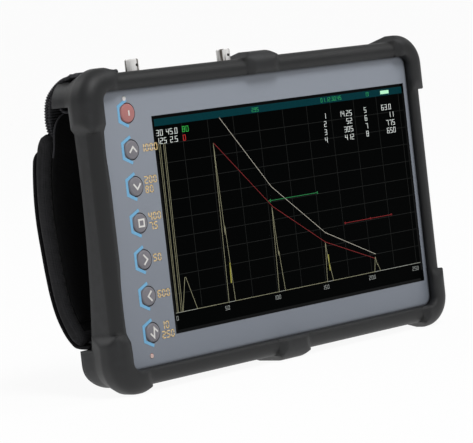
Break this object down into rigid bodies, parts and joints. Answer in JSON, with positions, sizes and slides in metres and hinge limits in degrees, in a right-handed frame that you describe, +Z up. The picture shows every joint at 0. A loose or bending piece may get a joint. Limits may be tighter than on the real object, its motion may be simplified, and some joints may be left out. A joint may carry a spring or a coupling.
{
  "type": "ultrasonic flaw detector",
  "caption": "Handheld ultrasonic flaw detector with a wide colour screen, a column of round keys, a rubber boot, two top probe sockets and a padded hand strap.",
  "frame": {"origin": "on the flat under the middle bottom bump of the boot, 9 mm behind the face of the front panel", "axes": "the screen looks along -Y, +X to the right seen from the front, +Z up"},
  "size_m": [0.2066, 0.0451, 0.1329],
  "materials": {
    "boot_rubber": "matt, fine grained",
    "case_plastic": "fine spark texture",
    "seal_rubber": "smooth",
    "steel": "zinc plated",
    "panel_film": "satin printed film",
    "screen_glass": "polished",
    "module_dark": "dark, smooth",
    "power_silicone": "matt silicone",
    "key_silicone": "matt silicone",
    "board": "green resist",
    "switch_cream": "smooth",
    "light_clear": "milky, smooth",
    "light_red": "milky, smooth",
    "nickel": "nickel plated, satin",
    "insulator": "smooth",
    "contact_brass": "bright",
    "black_plastic": "smooth",
    "battery_wrap": "shrink film",
    "webbing": "ribbed weave",
    "pad_fabric": "woven, with a bound edge",
    "liner_fabric": "brushed knit",
    "flap_fabric": "smooth close weave"
  },
  "bodies": {
    "instrument": {"rubber_boot": "boot_rubber", "front_case": "case_plastic", "rear_case": "case_plastic", "case_seal": "seal_rubber", "case_screws": "steel", "front_panel": "panel_film", "display_window": "screen_glass", "display_module": "module_dark", "display_bracket": "steel", "keypad_board": "board", "key_switches": "switch_cream", "status_light": "light_clear", "charge_light": "light_red", "transmit_socket": "nickel", "receive_socket": "nickel", "socket_nuts": "nickel", "socket_insulators": "insulator", "socket_contacts": "contact_brass", "main_board": "board", "pulser_shield": "steel", "sounder": "black_plastic", "battery_pack": "battery_wrap", "battery_contacts": "contact_brass", "battery_door": "case_plastic", "door_screws": "steel", "charge_port": "steel", "rear_feet": "seal_rubber", "upper_strap_bar": "steel", "lower_strap_bar": "steel", "upper_webbing": "webbing", "lower_webbing": "webbing", "strap_pad": "pad_fabric", "strap_liner": "liner_fabric", "closure_flap": "flap_fabric"},
    "power_key_body": {"power_key": "power_silicone"},
    "up_key_body": {"up_key": "key_silicone"},
    "down_key_body": {"down_key": "key_silicone"},
    "select_key_body": {"select_key": "key_silicone"},
    "right_key_body": {"right_key": "key_silicone"},
    "left_key_body": {"left_key": "key_silicone"},
    "step_key_body": {"step_key": "key_silicone"}
  },
  "joints": [
    {"name": "power_key_press", "type": "slide", "parent": "instrument", "child": "power_key_body", "axis": [0, 1, 0], "range_m": [0, 0.0006], "stiffness_N_per_m": 2000},
    {"name": "up_key_press", "type": "slide", "parent": "instrument", "child": "up_key_body", "axis": [0, 1, 0], "range_m": [0, 0.0006], "stiffness_N_per_m": 2000},
    {"name": "down_key_press", "type": "slide", "parent": "instrument", "child": "down_key_body", "axis": [0, 1, 0], "range_m": [0, 0.0006], "stiffness_N_per_m": 2000},
    {"name": "select_key_press", "type": "slide", "parent": "instrument", "child": "select_key_body", "axis": [0, 1, 0], "range_m": [0, 0.0006], "stiffness_N_per_m": 2000},
    {"name": "right_key_press", "type": "slide", "parent": "instrument", "child": "right_key_body", "axis": [0, 1, 0], "range_m": [0, 0.0006], "stiffness_N_per_m": 2000},
    {"name": "left_key_press", "type": "slide", "parent": "instrument", "child": "left_key_body", "axis": [0, 1, 0], "range_m": [0, 0.0006], "stiffness_N_per_m": 2000},
    {"name": "step_key_press", "type": "slide", "parent": "instrument", "child": "step_key_body", "axis": [0, 1, 0], "range_m": [0, 0.0006], "stiffness_N_per_m": 2000}
  ]
}
